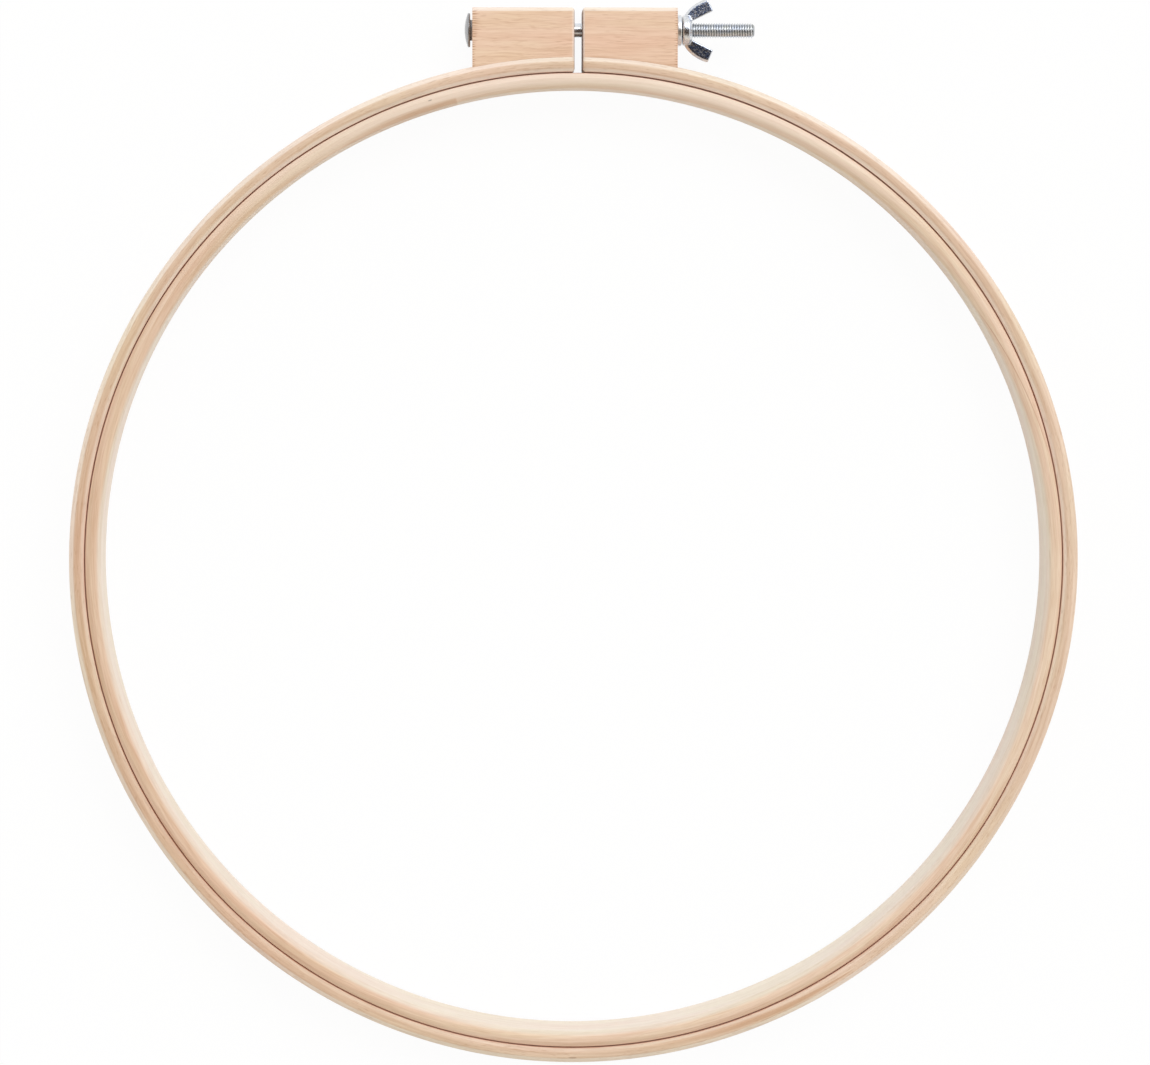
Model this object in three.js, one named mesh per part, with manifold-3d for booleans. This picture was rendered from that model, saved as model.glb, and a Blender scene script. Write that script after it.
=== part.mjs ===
// Wooden embroidery hoop with a bolt and wing nut clamp, lying flat, in millimetres.
// +Z is the hoop's axis, +Y points at the clamp and the bolt runs along +X.
// Z = 0 is the back face, on which the hoop lies.

import * as THREE from 'three';
import { mergeVertices } from 'three/addons/utils/BufferGeometryUtils.js';
import Module from 'manifold-3d';

const wasm = await Module();
wasm.setup();

// Rings
const seamDiameter = 380; // inside of the outer ring, where the cloth is gripped
const hoopDepth = 24;
const outerRingWall = 6;
const innerRingWall = 6;
const handSlopeWidth = 2.2; // of the sloping long edges that the hand meets
const handSlopeDepth = 1.7;
const seamSlopeWidth = 1.8; // and of those at the seam between the rings
const seamSlopeDepth = 1;
const slopeNose = 0.5; // how blunt the slopes end at the walls
const ringClearance = 0.3; // between the two rings, where the cloth goes

// Saw cut through the outer ring and its block
const sawCutWidth = 3.1;
const sawCutOffset = 1.35; // the cut is a little right of the hoop's middle
const sawCutEasing = 1.3; // radius on the sawn edges, front and back

// Clamp blocks, glued on as one piece and then sawn in two
const blockLength = 79;
const blockRise = 18.8; // top of the blocks above the outer ring
const blockInset = 1.5; // behind each face of the ring
const blockTopEasing = 1.8;
const blockCornerEasing = 1.8; // where the top meets the saw cut
const glueGap = 0.3;

// Carriage bolt
const boltLength = 110; // under the head
const boltRise = 10.5; // bolt axis above the outer ring
const headDiameter = 13.2;
const headDomeHeight = 1.3;
const headRimHeight = 0.8;
const headEasing = 0.3; // under the rim
const headStandoff = 0.9; // the head isn't drawn quite home
const neckSink = 0.2; // how deep the neck's root is sunk in the head
const neckWidth = 6;
const neckLength = 4;
const neckTurn = 33; // degrees that the square neck is turned about the bolt's axis
const neckClearance = 0.3;
const shankDiameter = 5.4;
const threadDiameter = 5.9;
const threadLength = 36;
const threadPointLength = 0.8;
const boltHoleClearance = 0.3;

// Washer and wing nut
const seatGap = 0.3; // between block, washer and nut
const washerDiameter = 12;
const washerThickness = 1.6;
const washerClearance = 0.25;
const washerEasing = 0.3;
const hubDiameter = 11.6;
const hubTopDiameter = 8.8;
const hubHeight = 3.8;
const hubShoulder = 2.8; // height of the hub's straight side
const hubEasing = 0.6; // at the foot
const hubTopEasing = 0.3;
const nutClearance = 0.15;
const wingSpan = 24.6; // from tip to tip
const wingReach = 12; // from the foot of the hub to the tips
const wingTipWidth = 5.2;
const wingTipSlant = 24; // degrees between the tip's cut and the seat
const wingFootLean = 15; // degrees from the seat at which the outer edge leaves the hub
const wingTipLean = 76; // and at which it reaches the tip
const wingThickness = 2.6; // at the tip
const wingRootThickness = 3.6;
const wingRootInset = 1.4; // how deep the feet of the wings are sunk in the hub's side
const wingCrotchGap = 0.3; // between the bolt hole and the wings' inner edges
const wingEasing = 0.75; // radius on the wings' long edges
const wingFootInset = 0.35; // the wings leave the hub just above its foot

// Fineness of the round surfaces
const mostEasing = 0.45; // of the shorter side of what is eased
const ringSides = 108;
const boltSides = 32;
const cornerSteps = 2;
const domeSteps = 6;
const wingSteps = 12;

// Sizes that follow
const seamRadius = seamDiameter / 2;
const ringTop = seamRadius + outerRingWall;
const handSlope = { width: handSlopeWidth, depth: handSlopeDepth };
const seamSlope = { width: seamSlopeWidth, depth: seamSlopeDepth };
const middle = hoopDepth / 2;
const boltHeight = ringTop + boltRise;
const blockTop = ringTop + blockRise;
const blockEnd = blockLength / 2;
const cutLeft = sawCutOffset - sawCutWidth / 2;
const cutRight = sawCutOffset + sawCutWidth / 2;
const headSeat = -blockEnd - headStandoff;
const washerSeat = blockEnd + seatGap;
const nutSeat = washerSeat + washerThickness + seatGap;
const cutterMargin = 5; // how far a cutting shape runs past what it cuts

// A geometry as a solid for joining and cutting: shared corners are merged
// and the triangles that close up at a pole are dropped.
function solidOf(geometry) {
  const bare = geometry.clone();
  bare.deleteAttribute('normal');
  bare.deleteAttribute('uv');
  const merged = mergeVertices(bare, 1e-4);
  const corners = merged.index.array;
  const kept = [];
  for (let i = 0; i < corners.length; i += 3) {
    const [a, b, c] = [corners[i], corners[i + 1], corners[i + 2]];
    if (a !== b && b !== c && c !== a) kept.push(a, b, c);
  }
  return new wasm.Manifold(new wasm.Mesh({
    numProp: 3,
    vertProperties: merged.attributes.position.array,
    triVerts: new Uint32Array(kept),
  }));
}

// The surface of a solid, as a geometry
function geometryOf(solid) {
  const mesh = solid.getMesh();
  const geometry = new THREE.BufferGeometry();
  geometry.setAttribute('position', new THREE.BufferAttribute(mesh.vertProperties, 3));
  geometry.setIndex(new THREE.BufferAttribute(mesh.triVerts, 1));
  geometry.computeVertexNormals();
  return geometry;
}

// A rectangle from (left, low) to (right, high) with a radius at each corner,
// given in the order low right, high right, high left, low left.
function easedRectangle(left, right, low, high, radii) {
  const most = Math.min(right - left, high - low) * mostEasing;
  const [lowRight, highRight, highLeft, lowLeft] = radii.map((r) => Math.min(r, most));
  const outline = new THREE.Shape();
  outline.moveTo(left + lowLeft, low);
  outline.lineTo(right - lowRight, low);
  if (lowRight) outline.absarc(right - lowRight, low + lowRight, lowRight, -Math.PI / 2, 0);
  outline.lineTo(right, high - highRight);
  if (highRight) outline.absarc(right - highRight, high - highRight, highRight, 0, Math.PI / 2);
  outline.lineTo(left + highLeft, high);
  if (highLeft) outline.absarc(left + highLeft, high - highLeft, highLeft, Math.PI / 2, Math.PI);
  outline.lineTo(left, low + lowLeft);
  if (lowLeft) outline.absarc(left + lowLeft, low + lowLeft, lowLeft, Math.PI, Math.PI * 1.5);
  outline.closePath();
  return outline;
}

// Points along an outline, each one once, closed on the first
function closedPoints(outline) {
  const points = outline.getPoints(cornerSteps);
  const kept = points.filter((p, i) => i === 0 || p.distanceTo(points[i - 1]) > 1e-6);
  if (kept[0].distanceTo(kept[kept.length - 1]) < 1e-6) kept.pop();
  return [...kept, kept[0].clone()];
}

// The sloping edge between a ring's front face and its wall at a radius, from the
// face down to the wall. side is 1 where the face lies outwards of the wall, and -1
// where it lies inwards. most is the room that there is for the slope.
function slopedEdge(radius, side, slope, most) {
  const width = Math.min(slope.width, most);
  const nose = Math.min(slopeNose, width / 2);
  return [
    new THREE.Vector2(radius + side * width, hoopDepth),
    new THREE.Vector2(radius + side * nose, hoopDepth - slope.depth * (1 - nose / width)),
    new THREE.Vector2(radius, hoopDepth - slope.depth - nose),
  ];
}

// A wooden ring about Z, its four long edges planed to slopes that end blunt
function ringGeometry(insideRadius, wall, insideSlope, outsideSlope) {
  const most = wall * mostEasing;
  const front = [
    ...slopedEdge(insideRadius + wall, -1, outsideSlope, most).reverse(),
    ...slopedEdge(insideRadius, 1, insideSlope, most),
  ];
  const back = front.map((p) => new THREE.Vector2(p.x, hoopDepth - p.y)).reverse();
  const section = [...front, ...back, front[0].clone()];
  return new THREE.LatheGeometry(section, ringSides).rotateX(Math.PI / 2);
}

// A disc about Z that fits the ring's facets, for the saddle under a block
function saddleCutter() {
  const radius = ringTop + glueGap;
  const profile = [
    new THREE.Vector2(0, -cutterMargin),
    new THREE.Vector2(radius, -cutterMargin),
    new THREE.Vector2(radius, hoopDepth + cutterMargin),
    new THREE.Vector2(0, hoopDepth + cutterMargin),
  ];
  return new THREE.LatheGeometry(profile, ringSides).rotateX(Math.PI / 2);
}

// One wall of a slot where it opens at an edge: the flare that leaves the edge
// rounded, from the foot of the rounding out past the edge. side is 1 for the
// right wall and -1 for the left.
function flare(wall, side, edge, easing) {
  const rounding = new THREE.Path();
  const foot = side > 0 ? Math.PI : 0;
  rounding.absarc(wall + side * easing, edge - easing, easing, foot, Math.PI / 2, side > 0);
  const past = new THREE.Vector2(wall + side * easing, edge + cutterMargin);
  return [...rounding.getPoints(cornerSteps), past];
}

// Both walls of the saw cut where it opens at an edge
function sawMouth(edge, easing) {
  return [...flare(cutRight, 1, edge, easing), ...flare(cutLeft, -1, edge, easing).reverse()];
}

// The saw cut: X across, Z up in its outline, and cut down from the top. It
// flares where the wood that is left has its edges eased, back and front.
function sawCutter(back, front) {
  const upper = sawMouth(front, sawCutEasing);
  const lower = upper.map((p) => new THREE.Vector2(p.x, back + front - p.y)).reverse();
  const outline = new THREE.Shape([...upper, ...lower]);
  const height = blockTop + cutterMargin;
  return new THREE.ExtrudeGeometry(outline, { depth: height, bevelEnabled: false })
    .rotateX(Math.PI / 2).translate(0, height, 0);
}

// The same flare where the saw cut comes out at the top of the blocks
function topCutter() {
  const outline = new THREE.Shape(sawMouth(blockTop, blockCornerEasing));
  const depth = hoopDepth + 2 * cutterMargin;
  return new THREE.ExtrudeGeometry(outline, { depth, bevelEnabled: false })
    .translate(0, 0, -cutterMargin);
}

// A round bar along X at the bolt's height, from one X to another
function boltBar(diameter, from, to) {
  const profile = [
    new THREE.Vector2(0, from),
    new THREE.Vector2(diameter / 2, from),
    new THREE.Vector2(diameter / 2, to),
    new THREE.Vector2(0, to),
  ];
  return new THREE.LatheGeometry(profile, boltSides).rotateZ(-Math.PI / 2)
    .translate(0, boltHeight, middle);
}

// One clamp block between two X, one of them inside the saw cut: its end view
// is extruded along X, and the ring, the saw and the drill are then taken away.
function clampBlock(left, right) {
  const back = blockInset;
  const front = hoopDepth - blockInset;
  const endView = easedRectangle(0, blockTop, back, front, [blockTopEasing, blockTopEasing, 0, 0]);
  const toX = new THREE.Matrix4().makeBasis(
    new THREE.Vector3(0, 1, 0), new THREE.Vector3(0, 0, 1), new THREE.Vector3(1, 0, 0));
  const options = { depth: right - left, bevelEnabled: false, curveSegments: cornerSteps * 2 };
  const blank = new THREE.ExtrudeGeometry(endView, options).applyMatrix4(toX)
    .translate(left, 0, 0);
  const holeDiameter = threadDiameter + 2 * boltHoleClearance;
  const hole = boltBar(holeDiameter, left - cutterMargin, right + cutterMargin);
  return solidOf(blank)
    .subtract(solidOf(saddleCutter()))
    .subtract(solidOf(sawCutter(back, front)))
    .subtract(solidOf(topCutter()))
    .subtract(solidOf(hole));
}

function innerRing() {
  const inside = seamRadius - ringClearance - innerRingWall;
  return ringGeometry(inside, innerRingWall, handSlope, seamSlope);
}

function outerRing() {
  const whole = solidOf(ringGeometry(seamRadius, outerRingWall, seamSlope, handSlope));
  return geometryOf(whole.subtract(solidOf(sawCutter(0, hoopDepth))));
}

// The left block also has the square hole that holds the bolt's neck, turned with it
function leftBlock() {
  const width = neckWidth + 2 * neckClearance;
  const depth = neckLength - headStandoff + neckClearance;
  const recess = new THREE.BoxGeometry(depth + cutterMargin, width, width)
    .rotateX(THREE.MathUtils.degToRad(neckTurn))
    .translate(-blockEnd + (depth - cutterMargin) / 2, boltHeight, middle);
  const block = clampBlock(-blockEnd, sawCutOffset);
  return geometryOf(block.subtract(solidOf(recess)));
}

function rightBlock() {
  return geometryOf(clampBlock(sawCutOffset, blockEnd));
}

// Bolt, washer and nut are turned about their own Y, with Y = 0 at the hoop's
// middle for the bolt and at the seat for the other two.
function carriageBolt() {
  const rim = headDiameter / 2;
  const sphere = (rim ** 2 + headDomeHeight ** 2) / (2 * headDomeHeight);
  const rimTop = headSeat - headRimHeight;
  const profile = [];
  for (let i = 0; i <= domeSteps; i++) {
    const r = rim * i / domeSteps;
    const drop = Math.sqrt(sphere ** 2 - r ** 2) - (sphere - headDomeHeight);
    profile.push(new THREE.Vector2(r, rimTop - drop));
  }
  const shank = shankDiameter / 2;
  const thread = threadDiameter / 2;
  const end = headSeat + boltLength;
  const threadStart = end - threadLength;
  profile.push(
    new THREE.Vector2(rim, headSeat - headEasing),
    new THREE.Vector2(rim - headEasing, headSeat),
    new THREE.Vector2(shank, headSeat),
    new THREE.Vector2(shank, threadStart),
    new THREE.Vector2(thread, threadStart + (thread - shank)),
    new THREE.Vector2(thread, end - threadPointLength),
    new THREE.Vector2(thread - threadPointLength, end),
    new THREE.Vector2(0, end),
  );
  const turned = new THREE.LatheGeometry(profile, boltSides);
  const neck = new THREE.BoxGeometry(neckWidth, neckLength + neckSink, neckWidth)
    .rotateY(THREE.MathUtils.degToRad(neckTurn))
    .translate(0, headSeat + (neckLength - neckSink) / 2, 0);
  return geometryOf(solidOf(turned).add(solidOf(neck)));
}

function flatWasher() {
  const hole = threadDiameter / 2 + washerClearance;
  const easings = [0, washerEasing, 0, 0];
  const section = easedRectangle(hole, washerDiameter / 2, 0, washerThickness, easings);
  return new THREE.LatheGeometry(closedPoints(section), boltSides);
}

// A point at a distance from another, in the direction of an angle in degrees
function away(point, distance, degrees) {
  const angle = THREE.MathUtils.degToRad(degrees);
  return new THREE.Vector2(
    point.x + distance * Math.cos(angle), point.y + distance * Math.sin(angle));
}

// A closed solid through a row of outlines, each a list of as many points, with
// flat ends. The outlines bulge outwards all round, so their ends are fans.
function loft(outlines) {
  const count = outlines[0].length;
  const corners = outlines.flat().flatMap((p) => [p.x, p.y, p.z]);
  const faces = [];
  for (let i = 0; i + 1 < outlines.length; i++) {
    for (let j = 0; j < count; j++) {
      const here = i * count + j;
      const next = i * count + (j + 1) % count;
      faces.push(here, next + count, next, here, here + count, next + count);
    }
  }
  const last = (outlines.length - 1) * count;
  for (let j = 1; j + 1 < count; j++) {
    faces.push(0, j, j + 1, last, last + j + 1, last + j);
  }
  const geometry = new THREE.BufferGeometry();
  geometry.setAttribute('position', new THREE.Float32BufferAttribute(corners, 3));
  geometry.setIndex(faces);
  return geometry;
}

// One wing: x is the distance from the bolt's axis, y runs along it. The outer
// edge sweeps up from the hub's foot, the inner edge rises straight from the
// hub's top beside the hole, and the tip between them is cut square. An eased
// section spans from edge to edge all the way, and thins from root to tip.
function wingGeometry(boreRadius) {
  const foot = new THREE.Vector2(hubDiameter / 2 - wingRootInset, wingFootInset);
  const slant = THREE.MathUtils.degToRad(wingTipSlant);
  const outerTip = new THREE.Vector2(wingSpan / 2, wingReach - wingTipWidth * Math.sin(slant));
  const innerTip = away(outerTip, wingTipWidth, 180 - wingTipSlant);
  const crotch = new THREE.Vector2(boreRadius + wingCrotchGap, (hubShoulder + hubHeight) / 2);
  const pull = foot.distanceTo(outerTip) / 3;
  const outerEdge = new THREE.CubicBezierCurve(
    foot, away(foot, pull, wingFootLean), away(outerTip, -pull, wingTipLean), outerTip);
  const innerEdge = new THREE.LineCurve(crotch, innerTip);
  const outlines = [];
  for (let i = 0; i <= wingSteps; i++) {
    const t = i / wingSteps;
    const outer = outerEdge.getPoint(t);
    const inner = innerEdge.getPoint(t);
    const half = outer.distanceTo(inner) / 2;
    const thick = THREE.MathUtils.lerp(wingRootThickness, wingThickness, t) / 2;
    const easings = [wingEasing, wingEasing, wingEasing, wingEasing];
    const section = closedPoints(easedRectangle(-half, half, -thick, thick, easings)).slice(1);
    outlines.push(section.map((p) => {
      const place = outer.clone().lerp(inner, (half - p.x) / (2 * half));
      return new THREE.Vector3(place.x, place.y, p.y);
    }));
  }
  return loft(outlines);
}

function wingNut() {
  const foot = hubDiameter / 2;
  const top = hubTopDiameter / 2;
  const hub = new THREE.LatheGeometry([
    new THREE.Vector2(0, 0),
    new THREE.Vector2(foot - hubEasing, 0),
    new THREE.Vector2(foot, hubEasing),
    new THREE.Vector2(foot, hubShoulder),
    new THREE.Vector2(top, hubHeight - hubTopEasing),
    new THREE.Vector2(top - hubTopEasing, hubHeight),
    new THREE.Vector2(0, hubHeight),
  ], boltSides);
  const boreRadius = threadDiameter / 2 + nutClearance;
  const bore = new THREE.CylinderGeometry(
    boreRadius, boreRadius, wingReach * 2 + cutterMargin, boltSides);
  const wing = wingGeometry(boreRadius);
  const otherWing = wing.clone().rotateY(Math.PI);
  const nut = solidOf(hub).add(solidOf(wing)).add(solidOf(otherWing));
  return geometryOf(nut.subtract(solidOf(bore)));
}

// Finishes
const ringBeech = { color: 0xdfbf9f, roughness: 0.6, metalness: 0 };
const blockBeech = { color: 0xe6cbb1, roughness: 0.65, metalness: 0 };
const zinc = { color: 0xc3c8cb, roughness: 0.35, metalness: 0.9 };

function piece(name, geometry, look) {
  const mesh = new THREE.Mesh(geometry, new THREE.MeshStandardMaterial(look));
  mesh.name = name;
  return mesh;
}

// The bolt's line: its own Y is turned to the hoop's X
const boltLine = new THREE.Group();
boltLine.position.set(0, boltHeight, middle);
boltLine.rotation.z = -Math.PI / 2;
const washer = piece('washer', flatWasher(), zinc);
washer.position.y = washerSeat;
const nut = piece('wing_nut', wingNut(), zinc);
nut.position.y = nutSeat;
boltLine.add(piece('carriage_bolt', carriageBolt(), zinc), washer, nut);

const group = new THREE.Group();
group.add(
  piece('inner_ring', innerRing(), ringBeech),
  piece('outer_ring', outerRing(), ringBeech),
  piece('left_block', leftBlock(), blockBeech),
  piece('right_block', rightBlock(), blockBeech),
  boltLine,
);

// The origin is under the middle of the whole hoop, clamp included
const whole = new THREE.Box3().setFromObject(group, true);
group.position.y = -(whole.min.y + whole.max.y) / 2;

export default group;
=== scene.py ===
"""Wooden embroidery hoop with a bolt and wing nut clamp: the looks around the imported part.

The hoop lies flat, +Z is its axis, +Y points at the clamp and the bolt runs along +X.
All lengths are in metres unless a name says otherwise.
"""

import math

import bpy
import numpy as np
from bpy.props import FloatProperty, FloatVectorProperty, PointerProperty
from mathutils import Matrix, Vector


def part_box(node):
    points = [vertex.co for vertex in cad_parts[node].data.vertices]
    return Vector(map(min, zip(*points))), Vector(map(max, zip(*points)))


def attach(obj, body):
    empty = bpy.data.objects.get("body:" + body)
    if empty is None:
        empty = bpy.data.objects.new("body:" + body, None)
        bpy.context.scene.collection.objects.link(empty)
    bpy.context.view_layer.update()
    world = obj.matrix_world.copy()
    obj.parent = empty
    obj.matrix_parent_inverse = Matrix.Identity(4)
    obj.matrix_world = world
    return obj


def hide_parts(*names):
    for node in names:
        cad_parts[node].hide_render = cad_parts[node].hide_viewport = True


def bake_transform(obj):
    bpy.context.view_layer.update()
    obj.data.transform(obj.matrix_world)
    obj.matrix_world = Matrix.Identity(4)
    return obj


bl_info = {
    "name": "Embroidery Hoop",
    "version": (1, 0, 0),
    "blender": (4, 5, 0),
    "location": "3D View > Sidebar > Hoop",
    "description": "Builds a wooden embroidery hoop around its packed frame",
    "category": "Add Mesh",
}

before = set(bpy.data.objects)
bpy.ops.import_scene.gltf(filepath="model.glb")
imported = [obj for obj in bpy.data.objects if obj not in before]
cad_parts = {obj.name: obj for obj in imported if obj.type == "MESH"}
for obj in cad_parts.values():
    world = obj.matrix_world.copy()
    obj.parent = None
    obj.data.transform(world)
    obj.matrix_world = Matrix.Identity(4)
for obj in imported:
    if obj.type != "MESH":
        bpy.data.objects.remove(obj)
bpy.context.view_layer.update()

MM = 0.001
RING_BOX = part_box("inner_ring")
OUTER_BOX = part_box("outer_ring")
LEFT_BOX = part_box("left_block")
RIGHT_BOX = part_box("right_block")
BOLT_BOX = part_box("carriage_bolt")
WASHER_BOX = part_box("washer")
NUT_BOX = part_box("wing_nut")

RING_CENTRE_Y = (RING_BOX[0].y + RING_BOX[1].y) / 2
BOLT_Y = (WASHER_BOX[0].y + WASHER_BOX[1].y) / 2
BOLT_Z = (WASHER_BOX[0].z + WASHER_BOX[1].z) / 2
CUT_MIDDLE = (LEFT_BOX[1].x + RIGHT_BOX[0].x) / 2
SHARP_ANGLE = math.radians(38)  # edges that turn more than this stay sharp

# Places and sizes that the pieces and their materials share
RING_WALL = 6 * MM
RING_STEPS = (2, 8, 2, 2, 2, 8, 2, 2)  # spans along each side of a ring's section
SCARF = 67.2  # degrees clockwise from the clamp to the inner ring's joint
SCARF_LENGTH = 80 * MM
PATCH = (345.8 - SCARF) / 360  # tan patch and dent, as shares of a turn from the joint
DENT = (342.7 - SCARF) / 360
LAP_TIP = math.radians(34.6)  # from the bottom of the hoop towards the nut's side
GLUE = 0.02 * MM
HEAD_SEAT = LEFT_BOX[0].x - 0.9 * MM  # underside of the bolt's head
THREAD_LENGTH = 36 * MM
SEAT_WIDTH = 6.6 * MM  # the square seat of the bolt's neck in the left block
SEAT_DEPTH = 3.4 * MM
NECK_TURN = math.radians(33)
SAW_PITCH = 0.92 * MM  # between the saw tears at the blocks' outer ends


def shade(red, green, blue):
    """A colour given as it looks on a screen, 0 to 255, as the linear values a shader takes."""
    c = np.array([red, green, blue]) / 255
    return tuple(float(x) for x in np.where(c < 0.04045, c / 12.92, ((c + 0.055) / 1.055) ** 2.4))


def length(name, description, default):
    """A size that a user can change."""
    return FloatProperty(name=name, description=description, default=default, min=0.0,
                         precision=5, unit="LENGTH")


def tint(name, description, default):
    """A colour that a user can change."""
    return FloatVectorProperty(name=name, description=description, default=default, size=3,
                               min=0.0, max=1.0, subtype="COLOR")


class HoopSizes(bpy.types.PropertyGroup):
    """Sizes of the hoop that a user would change."""
    outer_radius: length("Outer radius", "Outside of the outer ring", OUTER_BOX[1].x)
    seam_radius: length("Seam radius", "Inside of the outer ring", OUTER_BOX[1].x - RING_WALL)
    inner_ring_outside: length("Inner ring outside", "Outside of the inner ring", RING_BOX[1].x)
    inner_ring_wall: length("Inner ring wall", "Wall of the inner ring", RING_WALL)
    depth: length("Depth", "Depth of both rings along the hoop's axis", RING_BOX[1].z)
    hand_slope_width: length("Hand slope width", "Sloping edges that the hand meets", 2.2 * MM)
    hand_slope_depth: length("Hand slope depth", "How far those slopes fall", 1.7 * MM)
    seam_slope_width: length("Seam slope width", "Sloping edges at the seam", 1.9 * MM)
    seam_slope_depth: length("Seam slope depth", "How far those slopes fall", 1.05 * MM)
    cut_easing: length("Cut easing", "Radius on the sawn edges", 1.3 * MM)
    block_easing: length("Block easing", "Radius along the top of the blocks", 1.8 * MM)
    block_corner: length("Block corner", "Radius between block top and saw cut", 1.3 * MM)
    hole_radius: length("Hole radius", "Hole for the bolt in the blocks", 3.25 * MM)
    shank_radius: length("Shank radius", "Plain part of the bolt", 2.7 * MM)
    thread_radius: length("Thread radius", "Crest of the bolt's thread", 2.95 * MM)
    thread_pitch: length("Thread pitch", "From crest to crest", 1.0 * MM)
    thread_depth: length("Thread depth", "From crest to root", 0.62 * MM)
    bore_radius: length("Bore radius", "Hole through the wing nut", 3.1 * MM)
    wing_thickness: length("Wing thickness", "Thickness of each wing", 2.6 * MM)


class HoopFinish(bpy.types.PropertyGroup):
    """Colours of the hoop that a user would change."""
    inner_light: tint("Inner ring light", "Pale streaks of the inner ring", shade(238, 218, 197))
    inner_mid: tint("Inner ring middle", "Main tone of the inner ring", shade(226, 201, 177))
    inner_dark: tint("Inner ring dark", "Dark streaks of the inner ring", shade(208, 174, 144))
    outer_light: tint("Outer ring light", "Pale streaks of the outer ring", shade(233, 211, 188))
    outer_mid: tint("Outer ring middle", "Main tone of the outer ring", shade(219, 193, 168))
    outer_dark: tint("Outer ring dark", "Dark streaks of the outer ring", shade(197, 162, 132))
    # Paler inside wall of the inner ring, and painted light where that colour reaches onto the
    # lower inner slope
    ring_inside_and_lit_slope: tint("Ring inside", "Planed inside of the inner ring", shade(225, 212, 196))
    # Painted light on the inner ring near the clamp, where the light falls
    ring_top_light: tint("Ring crown", "Pale inner ring under the clamp", shade(236, 222, 208))
    # Paler outside wall of the outer ring, and painted light on its seam slope
    ring_outside_and_slope_light: tint("Ring outside", "Planed outside of the outer ring", shade(236, 223, 209))
    # Painted shade inside the seam between the rings
    seam_shade_tone: tint("Seam wood", "Dark wood inside the seam", shade(172, 88, 40))
    block_light: tint("Block light", "Pale streaks of the blocks", shade(240, 213, 190))
    block_mid: tint("Block middle", "Main tone of the blocks", shade(231, 199, 173))
    block_dark: tint("Block dark", "Dark streaks of the blocks", shade(210, 171, 140))
    # Sanded edges of the blocks, and painted light along the top edge, which faces the light
    block_edge_sanded_and_lit: tint("Block edge", "Sanded edges of the blocks", shade(237, 221, 208))
    # End grain in the saw cut, darkened further as painted shade
    end_grain_and_shade: tint("Sawn end", "End grain in the saw cut", shade(146, 110, 88))
    glue_line: tint("Glue line", "Joint of the inner ring", shade(176, 124, 92))
    lap_stain: tint("Lap stain", "Tan streak of the outer ring's lap", shade(196, 152, 116))
    zinc_bright: tint("Zinc bright", "Clean zinc", shade(236, 238, 241))
    zinc_dull: tint("Zinc dull", "Passivated zinc", shade(172, 178, 186))
    # Painted reflection: the dark blue-grey of the opening overhead, on the wings' flat faces
    zinc_painted_reflection: tint("Zinc cast", "Dark cast faces of the wings", shade(94, 110, 144))
    # Darker grey for the bolt's head
    zinc_head: tint("Zinc head", "Dull zinc of the bolt's head", shade(158, 158, 160))
    # Painted shade in the roots of the thread
    thread_root_shade: tint("Zinc root", "Roots of the thread", shade(134, 138, 140))
    # Painted shade on the bolt's neck, between its head and the block
    neck_shade: tint("Neck shade", "Grime on the bolt's neck", shade(96, 84, 78))
    floor: tint("Floor", "Paper under the hoop", shade(250, 250, 250))


# Meshes

def new_object(name, data):
    """A new object in the scene, at the origin, unturned and unscaled."""
    piece = bpy.data.objects.new(name, data)
    bpy.context.scene.collection.objects.link(piece)
    return piece


def surface(name, points, material, closed=False, capped=False, pattern=None):
    """A piece from a grid of points, rows along and columns round.

    points is rows x columns x 3, and columns always close on themselves. Rows close on
    themselves if closed, and otherwise get a flat face at each end if capped. pattern is
    the grain vector of each point, with one more row than points where rows close, so
    that it runs on past the joint without jumping back.
    """
    rows, columns = points.shape[:2]
    spans = rows if closed else rows - 1
    i, j = np.meshgrid(np.arange(spans), np.arange(columns), indexing="ij")
    corner_row = np.stack([i, i + 1, i + 1, i], axis=-1).reshape(-1, 4)
    corner_column = np.stack([j, j, j + 1, j + 1], axis=-1).reshape(-1, 4) % columns
    at = points.reshape(-1, 3)
    corners = (corner_row % rows) * columns + corner_column
    a, b, c, d = (at[corners[:, k]] for k in range(4))
    volume = np.einsum("ij,ij->i", a, np.cross(b, c) + np.cross(c, d)).sum()
    outward = volume > 0
    flat_row = corner_row if outward else corner_row[:, ::-1]
    flat_column = corner_column if outward else corner_column[:, ::-1]
    loop_row = flat_row.ravel()
    loop_column = flat_column.ravel()
    starts = np.arange(len(corner_row)) * 4
    if capped:
        ring = np.arange(columns)
        first, last = (ring, ring[::-1]) if outward else (ring[::-1], ring)
        starts = np.append(starts, [len(loop_row), len(loop_row) + columns])
        loop_row = np.concatenate([loop_row, np.zeros(columns, int), np.full(columns, rows - 1)])
        loop_column = np.concatenate([loop_column, first, last])
    mesh = bpy.data.meshes.new(name)
    mesh.vertices.add(len(at))
    mesh.vertices.foreach_set("co", at.astype(np.float32).ravel())
    mesh.loops.add(len(loop_row))
    vertex = (loop_row % rows) * columns + loop_column
    mesh.loops.foreach_set("vertex_index", vertex.astype(np.int32))
    mesh.polygons.add(len(starts))
    mesh.polygons.foreach_set("loop_start", starts.astype(np.int32))
    mesh.polygons.foreach_set("use_smooth", np.ones(len(starts), bool))
    mesh.update(calc_edges=True)
    if pattern is not None:
        grain = mesh.attributes.new("grain", "FLOAT_VECTOR", "CORNER")
        grain.data.foreach_set("vector", pattern[loop_row, loop_column].astype(np.float32).ravel())
    mesh.set_sharp_from_angle(angle=SHARP_ANGLE)
    mesh.materials.append(material)
    return new_object(name, mesh)


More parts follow.
